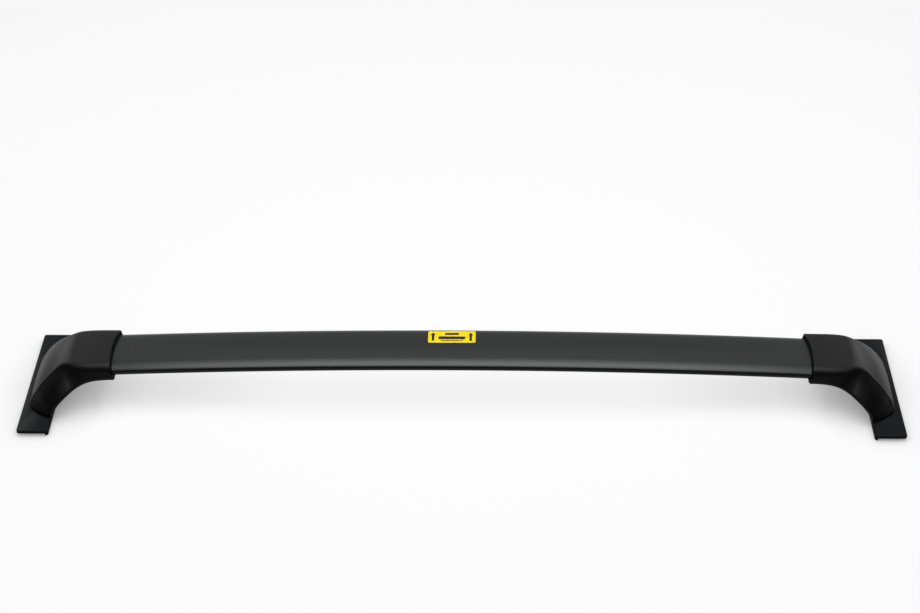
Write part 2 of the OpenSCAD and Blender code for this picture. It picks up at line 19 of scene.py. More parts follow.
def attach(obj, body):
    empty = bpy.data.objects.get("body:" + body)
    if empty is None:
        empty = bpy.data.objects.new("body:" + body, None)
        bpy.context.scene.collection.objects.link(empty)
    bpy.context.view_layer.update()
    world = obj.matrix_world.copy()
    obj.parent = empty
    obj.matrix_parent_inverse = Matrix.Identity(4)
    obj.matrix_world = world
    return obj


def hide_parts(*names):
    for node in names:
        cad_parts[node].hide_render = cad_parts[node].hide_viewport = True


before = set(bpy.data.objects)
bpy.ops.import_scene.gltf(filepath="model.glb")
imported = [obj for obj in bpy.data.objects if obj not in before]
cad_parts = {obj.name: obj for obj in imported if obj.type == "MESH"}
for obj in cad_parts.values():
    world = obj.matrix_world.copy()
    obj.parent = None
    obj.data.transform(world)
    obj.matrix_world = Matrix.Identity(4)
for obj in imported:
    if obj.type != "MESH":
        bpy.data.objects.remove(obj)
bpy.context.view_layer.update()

LOG = logging.getLogger("roof_bar")
MM = 0.001
BODY = "root"
# Points closer than this, in metres, are one point.
MERGE = 1e-6
# A noise pattern's height stays mostly between these.
NOISE_LOW, NOISE_HIGH = 0.3, 0.7


class Side(Enum):
    """Which end of the bar a foot carries."""

    LEFT = -1
    RIGHT = 1

    @property
    def word(self) -> str:
        """The side's name as the CAD nodes spell it."""
        return self.name.lower()


def linear(code: str) -> tuple[float, float, float, float]:
    """Turns an sRGB hex colour into linear RGBA.

    Args:
        code: six hex digits, with or without a hash.

    Returns:
        The linear colour with full alpha.
    """
    digits = code.lstrip("#")
    parts = [int(digits[i : i + 2], 16) / 255 for i in (0, 2, 4)]
    red, green, blue = (
        p / 12.92 if p <= 0.04045 else ((p + 0.055) / 1.055) ** 2.4 for p in parts
    )
    return red, green, blue, 1.0


def add_node(
    tree: bpy.types.NodeTree,
    kind: str,
    settings: Optional[dict] = None,
    values: Optional[dict] = None,
    links: Optional[dict] = None,
) -> bpy.types.Node:
    """Adds a node with its settings, socket values and incoming links.

    Args:
        tree: the node tree to add to.
        kind: the node's type name.
        settings: node properties by name.
        values: default values by input socket.
        links: source sockets by input socket.

    Returns:
        The new node.
    """
    node = tree.nodes.new(kind)
    for name, value in (settings or {}).items():
        setattr(node, name, value)
    for socket, value in (values or {}).items():
        node.inputs[socket].default_value = value
    for socket, source in (links or {}).items():
        tree.links.new(source, node.inputs[socket])
    return node


def pick(piece: bpy.types.Object) -> None:
    """Selects one object and nothing else.

    Args:
        piece: the object.
    """
    bpy.ops.object.select_all(action="DESELECT")
    piece.select_set(True)
    bpy.context.view_layer.objects.active = piece


@contextmanager
def editing(piece: bpy.types.Object) -> Iterator[None]:
    """Puts one object in edit mode for the block.

    Args:
        piece: the object.

    Yields:
        Nothing; edit mode ends with the block.
    """
    pick(piece)
    bpy.ops.object.mode_set(mode="EDIT")
    try:
        yield
    finally:
        bpy.ops.object.mode_set(mode="OBJECT")


class Element(Enum):
    """What is selected in edit mode, by the name of its list in a mesh."""

    VERT = "verts"
    EDGE = "edges"


def select_where(piece: bpy.types.Object, kind: Element, test: Callable) -> None:
    """Selects the vertices or edges that pass a test, in edit mode.

    Args:
        piece: the object in edit mode.
        kind: what is selected.
        test: takes the element and says whether it is selected.
    """
    bpy.ops.mesh.select_mode(type=kind.name)
    bpy.ops.mesh.select_all(action="DESELECT")
    mesh = bmesh.from_edit_mesh(piece.data)
    for element in getattr(mesh, kind.value):
        if test(element):
            element.select_set(True)
    mesh.select_flush_mode()
    bmesh.update_edit_mesh(piece.data)


def trace(name: str, points: Sequence[Vector], closed: bool) -> bpy.types.Object:
    """Draws a line through points, one extruded vertex after another.

    Args:
        name: the new object's name.
        points: the places the line runs through, in metres.
        closed: whether the last point is joined to the first.

    Returns:
        The line as a mesh object at the world's origin.
    """
    bpy.ops.object.select_all(action="DESELECT")
    bpy.ops.mesh.primitive_plane_add(size=2 * MM, location=points[0])
    line = bpy.context.object
    line.name = line.data.name = name
    with editing(line):
        bpy.ops.mesh.select_mode(type="VERT")
        bpy.ops.mesh.select_all(action="SELECT")
        bpy.ops.mesh.merge(type="CENTER")
        for here, there in zip(points, points[1:]):
            bpy.ops.mesh.extrude_vertices_move(
                TRANSFORM_OT_translate={"value": there - here}
            )
        if closed:
            last = len(points) - 1
            select_where(line, Element.VERT, lambda v: v.index in (0, last))
            bpy.ops.mesh.edge_face_add()
    settle(line)
    return line


def settle(piece: bpy.types.Object) -> None:
    """Moves an object's place into its mesh."""
    pick(piece)
    bpy.ops.object.transform_apply(location=True, rotation=True, scale=True)


def modify(piece: bpy.types.Object, kind: str, **settings: object) -> None:
    """Adds a modifier and applies it.

    Args:
        piece: the object to change.
        kind: the modifier's type.
        **settings: the modifier's properties.
    """
    pick(piece)
    modifier = piece.modifiers.new(kind.lower(), kind)
    for name, value in settings.items():
        setattr(modifier, name, value)
    bpy.ops.object.modifier_apply(modifier=modifier.name)


def smooth(piece: bpy.types.Object, degrees: float) -> None:
    """Shades a piece smooth, but for its sharp edges.

    Args:
        piece: the object.
        degrees: edges with a greater angle stay sharp.
    """
    pick(piece)
    bpy.ops.object.shade_smooth_by_angle(angle=math.radians(degrees))


def dress(
    piece: bpy.types.Object,
    material: bpy.types.Material,
    nodes: Sequence[str],
) -> bpy.types.Object:
    """Gives a finished piece its material and ties it to the frame.

    Args:
        piece: the finished object.
        material: its material.
        nodes: the CAD nodes that it stands for.

    Returns:
        The piece.
    """
    piece.data.materials.clear()
    piece.data.materials.append(material)
    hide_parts(*nodes)
    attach(piece, BODY)
    return piece


@dataclass(frozen=True)
class CoatedFinish:
    """A thin coat with a fine surface pattern in its bump, its gloss and its tone.

    Attributes:
        name: the material's name.
        tone: the coat's sRGB colour.
        bright: the sRGB colour of the pattern's paler parts.
        roughness: its mean roughness.
        spread: how far the roughness swings about its mean.
        grain_mm: the size of one grain.
        grain_depth_mm: the height of the grain.
        swell_mm: the size of the slow unevenness under the grain.
        swell_depth_mm: the height of that unevenness.
        ior: the coat's refractive index, which sets its gloss straight on.
    """

    name: str
    tone: str
    bright: str
    roughness: float
    spread: float = 0.05
    grain_mm: float = 0.6
    grain_depth_mm: float = 0.02
    swell_mm: float = 12.0
    swell_depth_mm: float = 0.02
    ior: float = 1.5

    def grain(
        self, tree: bpy.types.NodeTree, place: bpy.types.NodeSocket
    ) -> bpy.types.NodeSocket:
        """The fine pattern's height, from 0 to 1.

        Args:
            tree: the material's node tree.
            place: the object coordinates.

        Returns:
            The output socket of the pattern.
        """
        return add_node(
            tree,
            "ShaderNodeTexNoise",
            values={
                "Scale": 1 / (self.grain_mm * MM),
                "Detail": 3.0,
                "Roughness": 0.55,
            },
            links={"Vector": place},
        ).outputs["Fac"]

    def make(self) -> bpy.types.Material:
        """Builds the node material.

        Returns:
            The material.
        """
        material = bpy.data.materials.new(self.name)
        material.use_nodes = True
        tree = material.node_tree
        tree.nodes.clear()
        place = add_node(tree, "ShaderNodeTexCoord").outputs["Object"]
        grain = self.grain(tree, place)
        swell = add_node(
            tree,
            "ShaderNodeTexNoise",
            values={"Scale": 1 / (self.swell_mm * MM), "Detail": 2.0},
            links={"Vector": place},
        ).outputs["Fac"]
        tone = add_node(
            tree,
            "ShaderNodeMix",
            {"data_type": "RGBA"},
            {"A": linear(self.tone), "B": linear(self.bright)},
            {"Factor": swell},
        ).outputs["Result"]
        rough = add_node(
            tree,
            "ShaderNodeMapRange",
            values={
                "From Min": NOISE_LOW,
                "From Max": NOISE_HIGH,
                "To Min": self.roughness - self.spread,
                "To Max": self.roughness + self.spread,
            },
            links={"Value": grain},
        ).outputs["Result"]
        low = add_node(
            tree,
            "ShaderNodeBump",
            values={"Strength": 1.0, "Distance": self.swell_depth_mm * MM},
            links={"Height": swell},
        ).outputs["Normal"]
        fine = add_node(
            tree,
            "ShaderNodeBump",
            values={"Strength": 1.0, "Distance": self.grain_depth_mm * MM},
            links={"Height": grain, "Normal": low},
        ).outputs["Normal"]
        shader = add_node(
            tree,
            "ShaderNodeBsdfPrincipled",
            values={"IOR": self.ior},
            links={"Base Color": tone, "Roughness": rough, "Normal": fine},
        )
        add_node(
            tree,
            "ShaderNodeOutputMaterial",
            links={"Surface": shader.outputs["BSDF"]},
        )
        return material


@dataclass(frozen=True)
class MouldedGrain(CoatedFinish):
    """Moulded plastic or rubber, whose mould leaves a grain of small cells."""

    def grain(
        self, tree: bpy.types.NodeTree, place: bpy.types.NodeSocket
    ) -> bpy.types.NodeSocket:
        """The cell pattern's height, from 0 to 1.

        Args:
            tree: the material's node tree.
            place: the object coordinates.

        Returns:
            The output socket of the pattern.
        """
        return add_node(
            tree,
            "ShaderNodeTexVoronoi",
            {"feature": "SMOOTH_F1"},
            {"Scale": 1 / (self.grain_mm * MM), "Smoothness": 0.6},
            {"Vector": place},
        ).outputs["Distance"]


@dataclass(frozen=True)
class TurnedSteel:
    """Bright plated steel with fine marks from turning round a vertical axis.

    Attributes:
        name: the material's name.
        tone: the metal's sRGB colour.
        roughness: its mean roughness.
        spread: how far the roughness swings about its mean.
        mark_mm: the distance between marks.
        mark_depth_mm: the depth of a mark.
        mark_run: how much shorter a mark is across the axis than its noise is.
        mark_strength: how strongly the marks bend the light.
    """

    name: str
    tone: str
    roughness: float
    spread: float = 0.08
    mark_mm: float = 0.35
    mark_depth_mm: float = 0.01
    mark_run: float = 0.05
    mark_strength: float = 0.6

    def make(self) -> bpy.types.Material:
        """Builds the node material.

        Returns:
            The material.
        """
        material = bpy.data.materials.new(self.name)
        material.use_nodes = True
        tree = material.node_tree
        tree.nodes.clear()
        place = add_node(tree, "ShaderNodeTexCoord").outputs["Object"]
        squeezed = add_node(
            tree,
            "ShaderNodeMapping",
            values={"Scale": (self.mark_run, self.mark_run, 1.0)},
            links={"Vector": place},
        ).outputs["Vector"]
        marks = add_node(
            tree,
            "ShaderNodeTexNoise",
            values={"Scale": 1 / (self.mark_mm * MM), "Detail": 2.0},
            links={"Vector": squeezed},
        ).outputs["Fac"]
        rough = add_node(
            tree,
            "ShaderNodeMapRange",
            values={
                "To Min": self.roughness - self.spread,
                "To Max": self.roughness + self.spread,
            },
            links={"Value": marks},
        ).outputs["Result"]
        bump = add_node(
            tree,
            "ShaderNodeBump",
            values={
                "Strength": self.mark_strength,
                "Distance": self.mark_depth_mm * MM,
            },
            links={"Height": marks},
        ).outputs["Normal"]
        shader = add_node(
            tree,
            "ShaderNodeBsdfPrincipled",
            values={"Base Color": linear(self.tone), "Metallic": 1.0},
            links={"Roughness": rough, "Normal": bump},
        )
        add_node(
            tree,
            "ShaderNodeOutputMaterial",
            links={"Surface": shader.outputs["BSDF"]},
        )
        return material


@dataclass
class Finishes:
    """Every material of the part, by the record's slot."""

    # Extruded aluminium, powder coated: a satin black sheen over fine orange peel.
    bar_coat: CoatedFinish = CoatedFinish(
        "satin_powder_coat_on_extruded_aluminium",
        tone="#101112",
        bright="#131415",
        roughness=0.34,
        ior=1.24,
        grain_mm=0.5,
        grain_depth_mm=0.012,
        swell_mm=3.0,
        swell_depth_mm=0.008,
    )
    # Injection-moulded ABS: a matt grain from the spark-eroded mould, and soft sheen.
    cover_plastic: CoatedFinish = MouldedGrain(
        "moulded_black_abs_with_fine_grain",
        tone="#0e0e0f",
        bright="#111112",
        roughness=0.4,
        ior=1.155,
        grain_mm=0.7,
        grain_depth_mm=0.02,
        swell_mm=25.0,
        swell_depth_mm=0.02,
    )
    # Die-cast aluminium, shot-blasted and powder coated: dull black, faintly pebbled.
    arm_coat: CoatedFinish = CoatedFinish(
        "black_powder_coat_on_die_cast_aluminium",
        tone="#0c0c0d",
        bright="#0f0f10",
        roughness=0.42,
        ior=1.18,
        grain_mm=0.8,
        grain_depth_mm=0.02,
    )
    # Pressed steel, electrophoretic dip coat: a thin, even, dark satin film.
    plate_coat: CoatedFinish = CoatedFinish(
        "black_dip_coat_on_pressed_steel",
        tone="#0e0f11",
        bright="#111214",
        roughness=0.4,
        ior=1.1,
        grain_mm=1.5,
        grain_depth_mm=0.008,
    )
    # Compression-moulded EPDM rubber: dark grey and dull, with a coarse grain.
    pad_rubber: CoatedFinish = MouldedGrain(
        "moulded_epdm_rubber",
        tone="#141414",
        bright="#1a1a1a",
        roughness=0.75,
        grain_mm=1.2,
        grain_depth_mm=0.03,
    )
    # Soft moulded seal rubber: quite matt, and darkened past the rubber's own black as
    # painted shade, so that it shows as the shadowed black line between cover and bar and
    # the dark gap under the rim.
    seal_rubber: CoatedFinish = MouldedGrain(
        "soft_black_seal_rubber",
        tone="#070707",
        bright="#0a0a0a",
        roughness=0.85,
        ior=1.1,
        grain_mm=1.0,
    )
    # Printed vinyl film: strong yellow with a semi-gloss face, hardly uneven.
    label_yellow: CoatedFinish = CoatedFinish(
        "printed_yellow_vinyl_film",
        tone="#ffe600",
        bright="#fbe000",
        roughness=0.4,
        ior=1.25,
        grain_mm=2.0,
        grain_depth_mm=0.004,
    )
    # Screen-printed ink: black marks that share the film's semi-gloss.
    label_black: CoatedFinish = CoatedFinish(
        "black_ink_on_vinyl",
        tone="#12120c",
        bright="#16150e",
        roughness=0.4,
        ior=1.2,
        grain_mm=2.0,
        grain_depth_mm=0.004,
    )
    # Turned steel, zinc plated: pale and bright, ringed with fine tool marks.
    insert_steel: TurnedSteel = TurnedSteel("zinc_plated_steel", "#b9bbb8", 0.35)
    # Cold-headed stainless steel: mid grey, bright, with faint rings.
    screw_steel: TurnedSteel = TurnedSteel("stainless_steel", "#9a9b9d", 0.3)
    made: dict = field(default_factory=dict)

    def get(self, slot: str) -> bpy.types.Material:
        """The material of a slot, made at its first use.

        Args:
            slot: the record's material slot.

        Returns:
            The material.
        """
        if slot not in self.made:
            self.made[slot] = getattr(self, slot).make()
        return self.made[slot]


@dataclass
class BowedBar:
    """The extruded bar: a cambered, hollow section swept along a slight upward bow.

    Attributes:
        width: the bar's width, nose to nose.
        nose_r: radius of the front and rear noses.
        shoulder_r: radius between the crown and a nose.
        crown_slope: the crown's slope where the shoulder starts.
        shoulder_slope: the shoulder's slope where the nose starts.
        bow_r: radius of the upward bow, at the middle of the noses.
        wall: thickness of the wall.
        rib_t: thickness of an inner rib.
        rib_gap: distance between the two inner ribs.
        rib_bite: how far a rib runs into the upper wall.
        edge_z: height of the middle of the noses at the collars.
        collar_x: the collars' distance from the middle.
        end_x: the bar's end, inside the foot.
        screw_x: the screw holes' distances from the middle.
        hole_r: radius of a screw hole.
        sharp: edges with a greater angle are shaded sharp.
        crown_steps, shoulder_steps, nose_steps: faces along each arc.
        bow_steps: faces along the bow.
    """

    width: float = 72.0
    nose_r: float = 5.0
    shoulder_r: float = 22.0
    crown_slope: float = 8.0
    shoulder_slope: float = 40.0
    bow_r: float = 9100.0
    wall: float = 2.2
    rib_t: float = 2.0
    rib_gap: float = 30.0
    rib_bite: float = 0.7
    edge_z: float = 51.3
    collar_x: float = 430.0
    end_x: float = 466.0
    screw_x: tuple[float, float] = (438.0, 452.0)
    hole_r: float = 3.3
    sharp: float = 30.0
    crown_steps: int = 8
    shoulder_steps: int = 10
    nose_steps: int = 16
    bow_steps: int = 72

    @property
    def axis_z(self) -> float:
        """Height of the bow's axis."""
        return self.edge_z - math.sqrt(self.bow_r**2 - self.collar_x**2)

    def half_section(self) -> list[tuple[float, float]]:
        """Half of the section about the edge centre, crown to underside.

        Returns:
            Points as (sideways, upward), in millimetres.
        """
        edge_y = self.width / 2 - self.nose_r
        crown = math.radians(self.crown_slope)
        shoulder = math.radians(self.shoulder_slope)
        rest = self.shoulder_r - self.nose_r
        reach = (edge_y - rest * math.sin(shoulder)) / math.sin(crown)
        drop = reach * math.cos(crown) + rest * math.cos(shoulder)
        centre = (reach * math.sin(crown), reach * math.cos(crown) - drop)
        crown_r = reach + self.shoulder_r
        arcs = (
            ((0.0, -drop), crown_r, 0.0, crown, self.crown_steps),
            (centre, self.shoulder_r, crown, shoulder, self.shoulder_steps),
            ((edge_y, 0.0), self.nose_r, shoulder, math.pi, self.nose_steps),
        )
        points = []
        for (y, z), r, start, end, steps in arcs:
            for i in range(steps):
                a = start + (end - start) * i / steps
                points.append((y + r * math.sin(a), z + r * math.cos(a)))
        points.append((edge_y, -self.nose_r))
        return points

    def sweep(
        self, name: str, section: Sequence[tuple[float, float]]
    ) -> bpy.types.Object:
        """Spins a closed section along the bow, from end to end.

        Args:
            name: the new object's name.
            section: points as (sideways, upward from the edge centre), in millimetres.

        Returns:
            An open-ended tube.
        """
        start = -math.asin(self.end_x / self.bow_r)
        points = []
        for y, z in section:
            r = self.bow_r + z
            across, up = r * math.sin(start), self.axis_z + r * math.cos(start)
            points.append(Vector((across, y, up)) * MM)
        tube = trace(name, points, closed=True)
        with editing(tube):
            bpy.ops.mesh.select_all(action="SELECT")
            bpy.ops.mesh.spin(
                steps=self.bow_steps,
                angle=2 * start,
                center=(0, 0, self.axis_z * MM),
                axis=(0, 1, 0),
            )
            bpy.ops.mesh.select_all(action="SELECT")
            bpy.ops.mesh.remove_doubles(threshold=MERGE)
            bpy.ops.mesh.normals_make_consistent(inside=False)
        return tube

    def drill(self, bar: bpy.types.Object, x: float) -> None:
        """Cuts a screw hole through the bar's lower wall.

        Args:
            bar: the bar.
            x: the hole's place along the bar, in millimetres.
        """
        bpy.ops.object.select_all(action="DESELECT")
        low = (self.edge_z - self.nose_r) * MM
        bpy.ops.mesh.primitive_cylinder_add(
            vertices=32,
            radius=self.hole_r * MM,
            depth=2 * self.nose_r * MM,
            location=(x * MM, 0, low),
        )
        drill = bpy.context.object
        modify(bar, "BOOLEAN", object=drill, operation="DIFFERENCE", solver="EXACT")
        bpy.data.objects.remove(drill)

    def build(self, finishes: Finishes) -> bpy.types.Object:
        """Builds the bar with its wall and inner ribs.

        Args:
            finishes: the part's materials.

        Returns:
            The finished piece.
        """
        half = self.half_section()
        mirrored = [(-y, z) for y, z in reversed(half[1:])]
        bar = self.sweep("bar", half + mirrored)
        modify(
            bar, "SOLIDIFY", thickness=self.wall * MM, offset=-1.0, use_even_offset=True
        )
        top = half[0][1] - self.wall - self.rib_bite
        low = -self.nose_r + self.wall
        ribs = []
        for side in Side:
            mid = side.value * self.rib_gap / 2
            box = [
                (mid - self.rib_t / 2, low),
                (mid + self.rib_t / 2, low),
                (mid + self.rib_t / 2, top),
                (mid - self.rib_t / 2, top),
            ]
            rib = self.sweep(f"bar_rib_{side.word}", box)
            with editing(rib):
                select_where(rib, Element.EDGE, lambda e: e.is_boundary)
                bpy.ops.mesh.edge_face_add()
                bpy.ops.mesh.select_all(action="SELECT")
                bpy.ops.mesh.normals_make_consistent(inside=False)
            ribs.append(rib)
        pick(bar)
        for rib in ribs:
            rib.select_set(True)
        bpy.ops.object.join()
        for side in Side:
            for x in self.screw_x:
                self.drill(bar, side.value * x)
        smooth(bar, self.sharp)
        return dress(bar, finishes.get("bar_coat"), ["bar_extrusion"])


class Place(NamedTuple):
    """The cover's section at one place on its way from the bar to the plate.

    Attributes:
        share: the place, as a share of the length.
        top_half_w: half width at the upper edge.
        lip_half_w: half width at the lip.
        edge_r: radius of the upper edge.
        rise: rise of the crown.
        bulge: how far the flank turns on its way down.
    """

    share: float
    top_half_w: float
    lip_half_w: float
    edge_r: float
    rise: float
    bulge: float


@dataclass
class FootCover:
    """The moulded cover of one foot: a shell that turns from the bar down to the plate.

    Attributes:
        side: which foot it covers.
        plate_x: the plate's outer edge.
        plate_w: the plate's width.
        collar_x: the collar's distance from the bar's middle.
        arch_z: height of the underside at the collar.
        rim_z: height of the rim over the plate.
        side_h: height of the upper edge over the underside at the collar.
        lip_start, lip_leg: height of the arm's lip at the collar and along the leg.
        parting: gap between the arm's lip and the cover.
        wall: thickness of the wall.
        collar_bow, collar_slant: how the collar's end bows and slants.
        collar_half_w: half the collar's width, for the bow and the slant.
        straight: share of the length along which the crest is straight.
        setback: the rim's distance from the plate's outer edge.
        overhang: how far the underside passes the plate's inner edge.
        arch_pulls: pulls of the underside's curve, from the collar and the plate's edge.
        crest_run: the straight part of the crest.
        crest_pulls: pulls of the crest's curve, from its two ends.
        edge_in, edge_down: the upper edge's centre, as shares of its radius.
        rim_break: width of the broken edges round the rim.
        break_angle: edges sharper than this are broken.
        sharp: edges with a greater angle are shaded sharp.
        stations: steps along the length.
        crown_steps, edge_steps, flank_steps: faces along each part of the section.
        places: the sections that the cover runs through.
    """

    side: Side
    plate_x: float = 540.0
    plate_w: float = 38.5
    collar_x: float = 430.0
    arch_z: float = 43.6
    rim_z: float = 9.4
    side_h: float = 15.6
    lip_start: float = 5.6
    lip_leg: float = 3.4
    parting: float = 0.5
    wall: float = 2.6
    collar_bow: float = 3.0
    collar_slant: float = 1.5
    collar_half_w: float = 39.5
    straight: float = 0.3
    setback: float = 6.0
    overhang: float = 0.6
    arch_pulls: tuple = ((41.5, 0.4), (-45.0, 13.5))
    crest_run: tuple = (42.0, -0.9)
    crest_pulls: tuple = ((22.0, 1.0), (-14.4, 25.5))
    edge_in: float = 0.85
    edge_down: float = 0.5
    rim_break: float = 0.5
    break_angle: float = 50.0
    sharp: float = 60.0
    stations: int = 46
    crown_steps: int = 8
    edge_steps: int = 6
    flank_steps: int = 8
    places: tuple[Place, ...] = (
        Place(0.0, 37.7, 39.5, 12.0, 1.78, 0.0),
        Place(0.25, 37.5, 41.5, 11.5, 1.9, 3.0),
        Place(0.42, 32.85, 48.5, 10.5, 2.3, 8.0),
        Place(0.5, 32.55, 53.5, 9.0, 2.5, 10.0),
        Place(0.65, 36.0, 60.0, 5.5, 3.8, 12.0),
        Place(0.82, 40.9, 65.0, 5.0, 3.0, 12.0),
        Place(0.93, 42.3, 67.4, 5.0, 2.0, 12.0),
        Place(1.0, 49.0, 68.0, 4.5, 1.0, 12.0),
    )

    def at(self, u: float, size: str) -> float:
        """One size of the places, run smoothly between them.

        Args:
            u: share of the length.
            size: the size's name in Place.

        Returns:
            The size at u.
        """
        rows = [(place.share, getattr(place, size)) for place in self.places]
        last = len(rows) - 1

        def slope(i: int) -> float:
            """The size's slope at a row, from its neighbours."""
            (u0, v0), (u1, v1) = rows[max(i - 1, 0)], rows[min(i + 1, last)]
            return (v1 - v0) / (u1 - u0)

        i = max(k for k in range(last) if u >= rows[k][0])
        (u0, v0), (u1, v1) = rows[i], rows[i + 1]
        span = u1 - u0
        t = (u - u0) / span
        start, end = slope(i) * span, slope(i + 1) * span
        rise = v1 - v0
        return (
            v0
            + start * t
            + (3 * rise - 2 * start - end) * t**2
            + (start + end - 2 * rise) * t**3
        )

    @staticmethod
    def curve(points: Sequence[Vector], t: float) -> Vector:
        """A point on a cubic curve.

        Args:
            points: its four control points.
            t: share of the curve.

        Returns:
            The point at t.
        """
        a, b, c, d = points
        s = 1 - t
        return a * s**3 + b * (3 * s * s * t) + c * (3 * s * t * t) + d * t**3

    def arch(self, u: float) -> Vector:
        """The underside's line, seen from the front.

        Args:
            u: share of the length.

        Returns:
            The point at u, as (along the bar, upward).
        """
        first, second = (Vector(pull) for pull in self.arch_pulls)
        start = Vector((self.collar_x, self.arch_z))
        rim = Vector((self.plate_x, self.rim_z))
        end = rim - Vector((self.plate_w + self.overhang, 0))
        return self.curve([start, start + first, rim + second, end], u)

    def crest(self, u: float) -> Vector:
        """The upper edge's line, seen from the front.

        Args:
            u: share of the length.

        Returns:
            The point at u, as (along the bar, upward).
        """
        start = Vector((self.collar_x, self.arch_z + self.side_h))
        knee = start + Vector(self.crest_run)
        if u < self.straight:
            return start.lerp(knee, u / self.straight)
        foot = self.places[-1]
        inset = self.setback + foot.rise + foot.edge_r * self.edge_down
        end = Vector((self.plate_x - inset, self.rim_z))
        first, second = (Vector(pull) for pull in self.crest_pulls)
        points = [knee, knee + first, end + second, end]
        return self.curve(points, (u - self.straight) / (1 - self.straight))

    def half_section(self, u: float) -> list[Vector]:
        """Half of the outer skin's section, crown to lip.

        Args:
            u: share of the length.

        Returns:
            Points as (sideways, outward from the underside's line).
        """
        depth = (self.crest(u) - self.arch(u)).length
        r, rise = self.at(u, "edge_r"), self.at(u, "rise")
        corner = Vector((self.at(u, "top_half_w"), depth))
        centre = corner - Vector((self.edge_in, self.edge_down)) * r
        slope = math.atan(2 * rise / centre.x)
        top = centre + r * Vector((math.sin(slope), math.cos(slope)))
        fade = min(1.0, u / self.straight)
        lip_h = self.lip_start + (self.lip_leg - self.lip_start) * fade
        lip = Vector((self.at(u, "lip_half_w"), lip_h + self.parting))
        gap = lip - centre
        bulge = math.radians(self.at(u, "bulge"))
        turn = math.atan2(gap.x, gap.y) - math.acos(r / gap.length) + bulge / 2
        foot = centre + r * Vector((math.sin(turn), math.cos(turn)))
        chord = lip - foot
        swell = Vector((-chord.y, chord.x)) * (math.tan(bulge) / 2)
        knot = (lip + foot) / 2 + swell
        points = []
        for i in range(self.crown_steps):
            y = top.x * i / self.crown_steps
            points.append(Vector((y, top.y + rise * (1 - (y / top.x) ** 2))))
        for i in range(self.edge_steps + 1):
            a = slope + (turn - slope) * i / self.edge_steps
            points.append(centre + r * Vector((math.sin(a), math.cos(a))))
        for i in range(1, self.flank_steps + 1):
            t = i / self.flank_steps
            points.append(foot.lerp(knot, t).lerp(knot.lerp(lip, t), t))
        return points

    def section(self, u: float) -> list[Vector]:
        """The outer skin's whole section, in its place.

        Args:
            u: share of the length.

        Returns:
            Points in space, in metres.
        """
        half = self.half_section(u)
        whole = [Vector((-p.x, p.y)) for p in reversed(half[1:])] + half
        base = self.arch(u)
        outward = (self.crest(u) - base).normalized()
        placed = []
        for p in whole:
            q = base + outward * p.y
            edge = p.x / self.collar_half_w
            fade = max(0.0, 1 - u / (self.straight / 2))
            shift = (self.collar_bow * edge**2 + self.collar_slant * edge) * fade
            placed.append(Vector((self.side.value * (q.x - shift), p.x, q.y)) * MM)
        return placed

    def build(self, finishes: Finishes) -> bpy.types.Object:
        """Extrudes the section from the collar to the plate and gives it its wall.

        Args:
            finishes: the part's materials.

        Returns:
            The finished piece.
        """
        line = self.section(0.0)
        skin = trace(f"cover_{self.side.word}_moulded", line, closed=False)
        with editing(skin):
            bpy.ops.mesh.select_all(action="SELECT")
            for i in range(1, self.stations + 1):
                bpy.ops.mesh.extrude_edges_move()
                mesh = bmesh.from_edit_mesh(skin.data)
                target = self.section(i / self.stations)
                for vert in [v for v in mesh.verts if v.select]:
                    gaps = [(point - vert.co).length for point in line]
                    vert.co = target[gaps.index(min(gaps))]
                bmesh.update_edit_mesh(skin.data)
                line = target
            bpy.ops.mesh.select_all(action="SELECT")
            bpy.ops.mesh.normals_make_consistent(inside=False)
        if sum(f.normal.z * f.area for f in skin.data.polygons) < 0:
            with editing(skin):
                bpy.ops.mesh.select_all(action="SELECT")
                bpy.ops.mesh.flip_normals()
        modify(
            skin,
            "SOLIDIFY",
            thickness=self.wall * MM,
            offset=-1.0,
            use_even_offset=True,
        )
        modify(
            skin,
            "BEVEL",
            width=self.rim_break * MM,
            segments=2,
            limit_method="ANGLE",
            angle_limit=math.radians(self.break_angle),
        )
        modify(skin, "SUBSURF", levels=1, render_levels=1)
        smooth(skin, self.sharp)
        return dress(
            skin,
            finishes.get("cover_plastic"),
            [f"cover_{self.side.word}"],
        )


@dataclass
class ShapedPart:
    """A pressed, cast or moulded part whose solid is right, finished with broken edges.

    Attributes:
        node: the CAD node it is taken from and stands for.
        slot: the record's material slot.
        edge_mm: the width of the broken edge; 0 leaves edges sharp.
        edge_angle: edges sharper than this are broken.
        flat: faces that differ by less than this are made one.
        sharp: edges with a greater angle are shaded sharp.
    """

    node: str
    slot: str
    edge_mm: float = 0.4
    edge_angle: float = 40.0
    flat: float = 0.6
    sharp: float = 35.0

    def build(self, finishes: Finishes) -> bpy.types.Object:
        """Copies the node's mesh, cleans its faces and breaks its edges.

        Args:
            finishes: the part's materials.

        Returns:
            The finished piece.
        """
        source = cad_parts[self.node]
        piece = bpy.data.objects.new(f"{self.node}_finished", source.data.copy())
        bpy.context.scene.collection.objects.link(piece)
        pick(piece)
        bpy.ops.mesh.customdata_custom_splitnormals_clear()
        with editing(piece):
            bpy.ops.mesh.select_all(action="SELECT")
            bpy.ops.mesh.remove_doubles(threshold=MERGE)
            bpy.ops.mesh.dissolve_limited(angle_limit=math.radians(self.flat))
        if self.edge_mm:
            modify(
                piece,
                "BEVEL",
                width=self.edge_mm * MM,
                segments=3,
                limit_method="ANGLE",
                angle_limit=math.radians(self.edge_angle),
                harden_normals=True,
            )
        smooth(piece, self.sharp)
        return dress(piece, finishes.get(self.slot), [self.node])


class Reach(Enum):
    """What a softbox acts on."""

    COLOUR = "colour"
    REFLECTIONS = "reflections"


